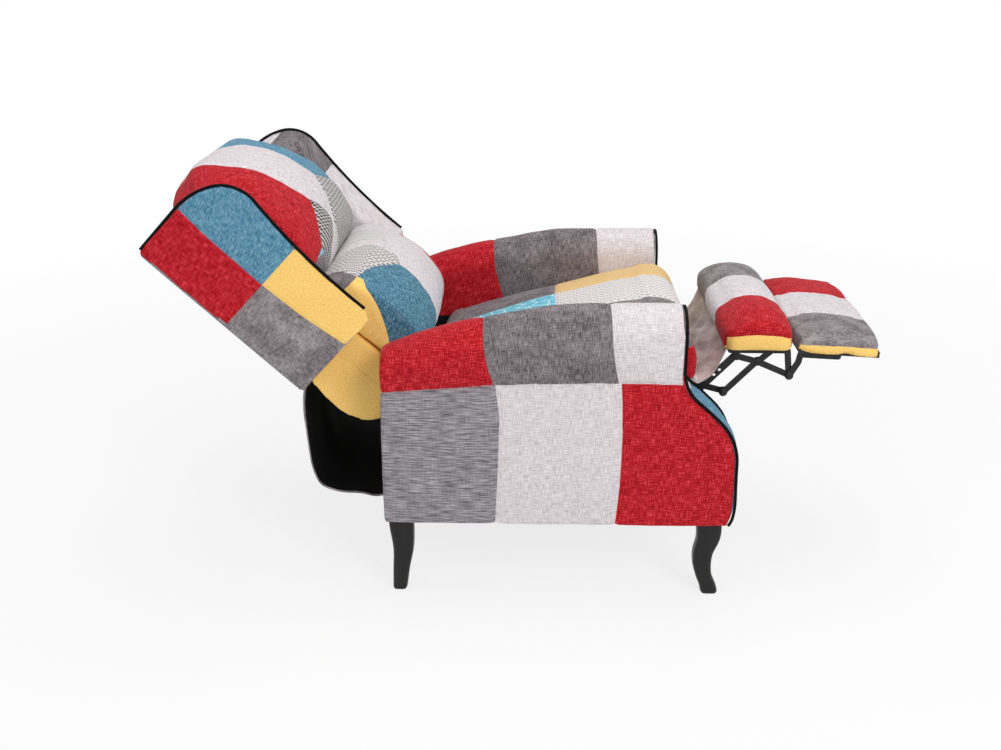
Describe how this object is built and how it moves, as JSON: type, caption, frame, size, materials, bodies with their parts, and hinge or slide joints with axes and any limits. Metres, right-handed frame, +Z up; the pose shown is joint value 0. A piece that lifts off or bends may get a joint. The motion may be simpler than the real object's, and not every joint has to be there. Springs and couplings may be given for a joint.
{
  "type": "reclining armchair",
  "caption": "Wing-back push-back recliner with rolled arms, loose head and lumbar pillows, patchwork upholstery, turned-out wooden legs and a scissor-link footrest with a folding outer pad.",
  "frame": {"origin": "on the floor under the middle of the reclined chair's box", "axes": "+X from the back towards the footrest, +Y to the sitter's left, +Z up"},
  "size_m": [1.4972, 0.76, 0.8932],
  "materials": {
    "fabric_red": "matte",
    "fabric_gray": "matte",
    "fabric_beige": "matte",
    "fabric_blue": "matte",
    "fabric_yellow": "matte",
    "fabric_white": "matte",
    "piping_black": "matte",
    "lining_black": "matte",
    "velvet_taupe": "matte",
    "webbing": "matte",
    "wood_black": "satin",
    "wood_board": "matte",
    "steel_black": "satin",
    "steel_bright": "satin"
  },
  "bodies": {
    "base": {"arm_cover_left": "fabric_red", "arm_cover_right": "fabric_red", "arm_board_left": "wood_board", "arm_board_right": "wood_board", "arm_piping_left": "piping_black", "arm_piping_right": "piping_black", "rear_leg_left": "wood_black", "rear_leg_right": "wood_black", "front_leg_left": "wood_black", "front_leg_right": "wood_black", "side_plate_left": "steel_black", "side_plate_right": "steel_black", "rear_cross_rail": "wood_board", "front_cross_rail": "wood_board", "pivot_shaft": "steel_bright", "dust_cover": "lining_black"},
    "back": {"back_core": "fabric_yellow", "back_cover": "fabric_gray", "wing_left": "fabric_blue", "wing_right": "fabric_blue", "wing_piping_left": "piping_black", "wing_piping_right": "piping_black", "back_rail_left": "wood_board", "back_rail_right": "wood_board", "back_rail_top": "wood_board", "back_rail_bottom": "wood_board", "head_pillow": "fabric_beige", "lumbar_pillow": "fabric_gray", "back_bracket_left": "steel_black", "back_bracket_right": "steel_black", "back_flap": "fabric_gray"},
    "seat": {"seat_cushion": "fabric_white", "seat_rail_left": "wood_board", "seat_rail_right": "wood_board", "seat_rail_rear": "wood_board", "seat_rail_front": "wood_board", "seat_strap_left": "webbing", "seat_strap_middle": "webbing", "seat_strap_right": "webbing", "seat_bracket_left": "steel_black", "seat_bracket_right": "steel_black", "link_bracket_left": "steel_black", "link_bracket_right": "steel_black", "footrest_web": "velvet_taupe"},
    "rear_links": {"rear_link_left": "steel_black", "rear_link_right": "steel_black", "link_tube": "steel_black"},
    "front_link_left": {"front_link_left": "steel_black"},
    "front_link_right": {"front_link_right": "steel_black"},
    "control_link_left": {"control_link_left": "steel_black"},
    "control_link_right": {"control_link_right": "steel_black"},
    "footrest": {"footrest_pad": "fabric_beige", "footrest_board": "wood_board", "footrest_bracket_left": "steel_black", "footrest_bracket_right": "steel_black"},
    "flipper": {"flipper_pad": "fabric_gray", "flipper_board": "wood_board", "flipper_bracket_left": "steel_black", "flipper_bracket_right": "steel_black"}
  },
  "joints": [
    {"name": "back_recline", "type": "hinge", "parent": "base", "child": "back", "pos_m": [-0.22, 0, 0.4], "axis": [0, 1, 0], "range_deg": [0, 32], "deforming": ["back_flap"]},
    {"name": "seat_tilt", "type": "hinge", "parent": "base", "child": "seat", "pos_m": [-0.22, 0, 0.4], "axis": [0, 1, 0], "range_deg": [0, 6]},
    {"name": "footrest_fold", "type": "hinge", "parent": "seat", "child": "rear_links", "pos_m": [0.248, 0, 0.402], "axis": [0, 1, 0], "range_deg": [0, 90], "deforming": ["footrest_web"]},
    {"name": "front_link_swing_left", "type": "hinge", "parent": "rear_links", "child": "front_link_left", "pos_m": [0.378, 0, 0.423], "axis": [0, 1, 0], "range_deg": [-110, 0]},
    {"name": "control_link_swing_left", "type": "hinge", "parent": "rear_links", "child": "control_link_left", "pos_m": [0.423, 0, 0.411], "axis": [0, 1, 0], "range_deg": [-110, 0]},
    {"name": "front_link_swing_right", "type": "hinge", "parent": "rear_links", "child": "front_link_right", "pos_m": [0.378, 0, 0.423], "axis": [0, 1, 0], "range_deg": [-110, 0]},
    {"name": "control_link_swing_right", "type": "hinge", "parent": "rear_links", "child": "control_link_right", "pos_m": [0.423, 0, 0.411], "axis": [0, 1, 0], "range_deg": [-110, 0]},
    {"name": "footrest_tilt", "type": "hinge", "parent": "front_link_right", "child": "footrest", "pos_m": [0.445, 0, 0.494], "axis": [0, 1, 0], "range_deg": [0, 110]},
    {"name": "flipper_fold", "type": "hinge", "parent": "footrest", "child": "flipper", "pos_m": [0.557, 0, 0.453], "axis": [0, 1, 0], "range_deg": [0, 170]}
  ],
  "couplings": [
    {"joint": "seat_tilt", "follows": "back_recline", "ratio": 0.1875},
    {"joint": "front_link_swing_left", "follows": "footrest_fold", "ratio": -1.2222},
    {"joint": "control_link_swing_left", "follows": "footrest_fold", "ratio": -1.2222},
    {"joint": "front_link_swing_right", "follows": "footrest_fold", "ratio": -1.2222},
    {"joint": "control_link_swing_right", "follows": "footrest_fold", "ratio": -1.2222},
    {"joint": "footrest_tilt", "follows": "footrest_fold", "ratio": 1.2222},
    {"joint": "flipper_fold", "follows": "footrest_fold", "ratio": 1.8889}
  ]
}
